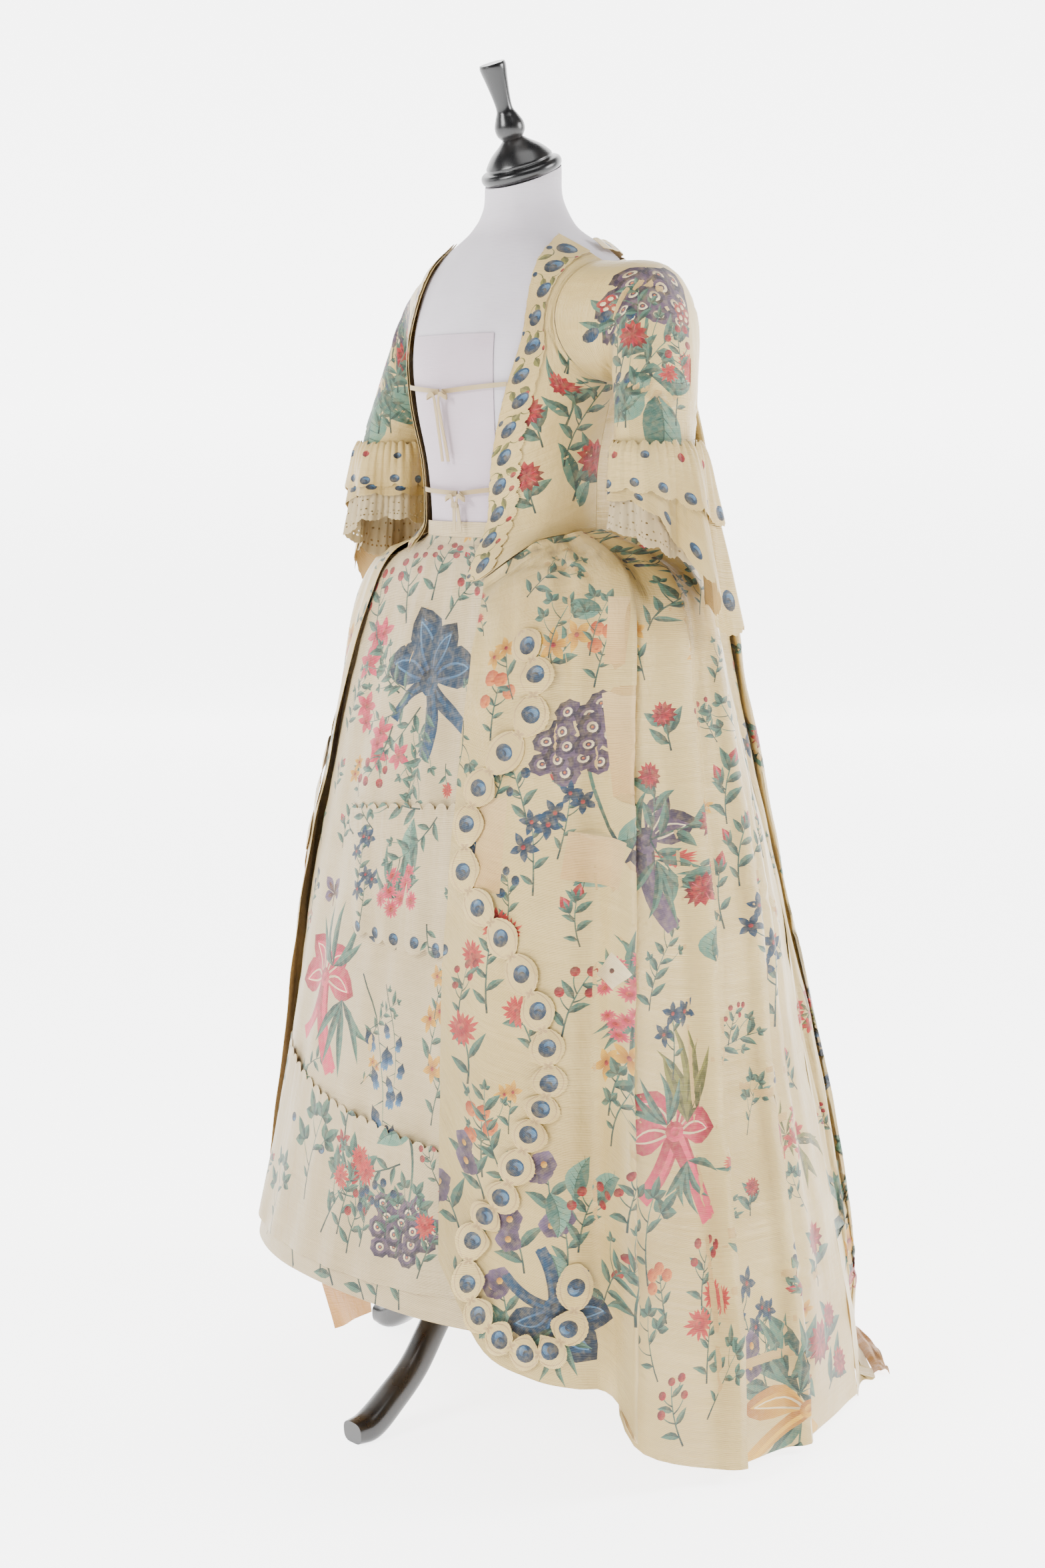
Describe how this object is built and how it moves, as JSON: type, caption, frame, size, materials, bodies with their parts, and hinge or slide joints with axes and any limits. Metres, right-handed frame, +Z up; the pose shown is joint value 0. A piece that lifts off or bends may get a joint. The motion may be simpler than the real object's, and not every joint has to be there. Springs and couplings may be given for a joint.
{
  "type": "robe a la francaise and petticoat on a dress form",
  "caption": "Open painted-silk gown with box-pleated back falling to a short train, ruffled elbow sleeves and winding trim, over a matching petticoat, on a limbless dress form and footed stand.",
  "frame": {"origin": "centre of the bounding box, on the floor plane that the stand's feet rest on", "axes": "+Z up; the wearer faces -Y; the wearer's left is +X"},
  "size_m": [0.8764, 0.8582, 1.7989],
  "materials": {
    "painted_silk": "ivory silk with a low sheen, painted with flowers",
    "petticoat_silk": "greyer ivory silk with a low sheen, painted with flowers",
    "silk_facing": "yellow-brown aged silk, crumpled",
    "muslin": "plain ivory muslin and tape, matt",
    "form_cover": "smooth light grey cover, matt",
    "black_wood": "black lacquer, glossy"
  },
  "bodies": {
    "root": {"bodice_front_left": "painted_silk", "bodice_front_right": "painted_silk", "bodice_back": "painted_silk", "robing_left": "painted_silk", "robing_right": "painted_silk", "neck_band": "painted_silk", "skirt_left": "painted_silk", "skirt_right": "painted_silk", "back_sack": "painted_silk", "sleeve_left": "painted_silk", "sleeve_right": "painted_silk", "flounce_upper_left": "painted_silk", "flounce_upper_right": "painted_silk", "flounce_lower_left": "painted_silk", "flounce_lower_right": "painted_silk", "trim_skirt_left": "painted_silk", "trim_skirt_right": "painted_silk", "petticoat_band": "petticoat_silk", "petticoat_front": "petticoat_silk", "petticoat_back": "petticoat_silk", "petticoat_flounce_upper": "petticoat_silk", "petticoat_flounce_lower": "petticoat_silk", "petticoat_facing": "silk_facing", "train_hem_facing": "silk_facing", "lace_ruffle_left": "muslin", "lace_ruffle_right": "muslin", "tie_upper_left": "muslin", "tie_upper_right": "muslin", "tie_lower_left": "muslin", "tie_lower_right": "muslin", "form_torso": "form_cover", "neck_cap": "black_wood", "neck_finial": "black_wood", "stand_pole": "black_wood", "stand_hub": "black_wood", "stand_leg_1": "black_wood", "stand_leg_2": "black_wood", "stand_leg_3": "black_wood", "stand_leg_4": "black_wood"}
  },
  "joints": []
}
